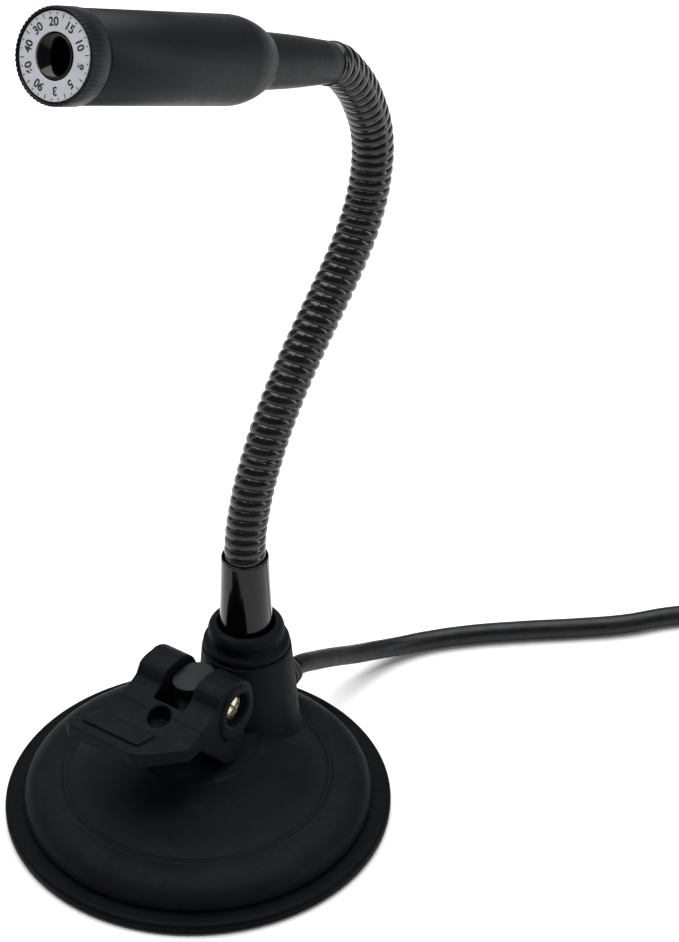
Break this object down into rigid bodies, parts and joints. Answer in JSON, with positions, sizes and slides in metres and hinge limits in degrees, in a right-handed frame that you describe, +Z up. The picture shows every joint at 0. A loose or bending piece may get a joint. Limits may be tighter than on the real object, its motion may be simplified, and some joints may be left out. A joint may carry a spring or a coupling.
{
  "type": "mini USB camera on a gooseneck with a locking suction base",
  "caption": "Small tubular USB camera on a black flexible gooseneck, standing on an 80 mm suction cup with a cam lever; cable coiled beside it.",
  "frame": {"origin": "middle of the suction cup, on the surface it grips", "axes": "+Z up, away from the surface; +Y from the lever to the hub tower; the neck bends in the YZ plane and the lens looks to -Y and up"},
  "size_m": [0.1685, 0.1651, 0.1957],
  "materials": {
    "cup_rubber": "matte black rubber",
    "cover_plastic": "soft black plastic, fine spark texture",
    "lever_plastic": "soft black plastic, fine spark texture",
    "ferrule_gloss": "glossy black plastic",
    "head_coat": "satin soft-touch black coating",
    "hose_metal": "glossy black enamel on a steel spiral",
    "steel": "plated steel",
    "brass": "turned brass",
    "dial": "silver-white printed ring",
    "board": "green solder resist",
    "chip": "black moulded package",
    "socket": "ivory nylon",
    "glass": "coated optical glass",
    "cable_vinyl": "satin black vinyl",
    "soft_rubber": "matte black rubber"
  },
  "bodies": {
    "base": {"suction_cup": "cup_rubber", "base_cover": "cover_plastic", "collar": "cover_plastic", "lower_ferrule": "ferrule_gloss", "neck_stud": "steel", "neck_washer": "steel", "neck_nut": "brass", "cable_grommet": "soft_rubber", "inner_lead": "cable_vinyl", "cable": "cable_vinyl", "cable_coil": "cable_vinyl", "cable_tie": "soft_rubber", "plug_relief": "soft_rubber", "plug_grip": "cable_vinyl", "plug_shell": "steel", "plug_tongue": "socket", "neck_1": "hose_metal"},
    "stem": {"cup_core": "cup_rubber", "pull_stem": "cover_plastic"},
    "lever": {"lever": "lever_plastic", "pivot_screw": "steel", "pivot_nut": "steel"},
    "hose_2": {"neck_2": "hose_metal"},
    "hose_3": {"neck_3": "hose_metal"},
    "hose_4": {"neck_4": "hose_metal"},
    "hose_5": {"neck_5": "hose_metal"},
    "hose_6": {"neck_6": "hose_metal"},
    "head": {"neck_7": "hose_metal", "upper_ferrule": "head_coat", "camera_case": "head_coat", "head_nut": "brass", "main_board": "board", "cable_socket": "socket", "controller_chip": "chip", "crystal": "steel", "board_header": "chip", "sensor_board": "board", "image_sensor": "chip", "infrared_filter": "glass", "lens_holder": "chip", "holder_screw_left": "steel", "holder_screw_right": "steel"},
    "focus": {"focus_ring": "head_coat", "dial_ring": "dial", "lens_hood": "ferrule_gloss"},
    "barrel": {"lens_barrel": "chip", "rear_lens": "glass", "front_lens": "glass"}
  },
  "joints": [
    {"name": "stem_slide", "type": "slide", "parent": "base", "child": "stem", "axis": [0, 0, 1], "range_m": [-0.0024, 0]},
    {"name": "lever_hinge", "type": "hinge", "parent": "stem", "child": "lever", "pos_m": [0.00002, -0.0004, 0.0302], "axis": [-0.9986, -0.0523, 0], "range_deg": [0, 100]},
    {"name": "neck_bend_1", "type": "hinge", "parent": "base", "child": "hose_2", "pos_m": [0, 0.0186, 0.0665], "axis": [1, 0, 0], "range_deg": [-25, 25]},
    {"name": "neck_bend_2", "type": "hinge", "parent": "hose_2", "child": "hose_3", "pos_m": [0, 0.0273, 0.0837], "axis": [0, 0.8286, -0.5599], "range_deg": [-25, 25]},
    {"name": "neck_bend_3", "type": "hinge", "parent": "hose_3", "child": "hose_4", "pos_m": [0, 0.0382, 0.0968], "axis": [1, 0, 0], "range_deg": [-25, 25]},
    {"name": "neck_bend_4", "type": "hinge", "parent": "hose_4", "child": "hose_5", "pos_m": [0, 0.0499, 0.1094], "axis": [0, 0.7958, -0.6055], "range_deg": [-25, 25]},
    {"name": "neck_bend_5", "type": "hinge", "parent": "hose_5", "child": "hose_6", "pos_m": [0, 0.0573, 0.1252], "axis": [1, 0, 0], "range_deg": [-25, 25]},
    {"name": "neck_bend_6", "type": "hinge", "parent": "hose_6", "child": "head", "pos_m": [0, 0.0552, 0.1406], "axis": [0, 0.9121, 0.4099], "range_deg": [-25, 25]},
    {"name": "focus_turn", "type": "hinge", "parent": "head", "child": "focus", "pos_m": [0, 0.04353, 0.15512], "axis": [0, -0.9143, 0.4051], "range_deg": [-135, 135]},
    {"name": "barrel_slide", "type": "slide", "parent": "head", "child": "barrel", "axis": [0, -0.9143, 0.4051], "range_m": [-0.0003, 0.0003]}
  ],
  "couplings": [
    {"joint": "stem_slide", "follows": "lever_hinge", "m_per_rad": -0.001375},
    {"joint": "barrel_slide", "follows": "focus_turn", "m_per_rad": 0.0000796}
  ]
}
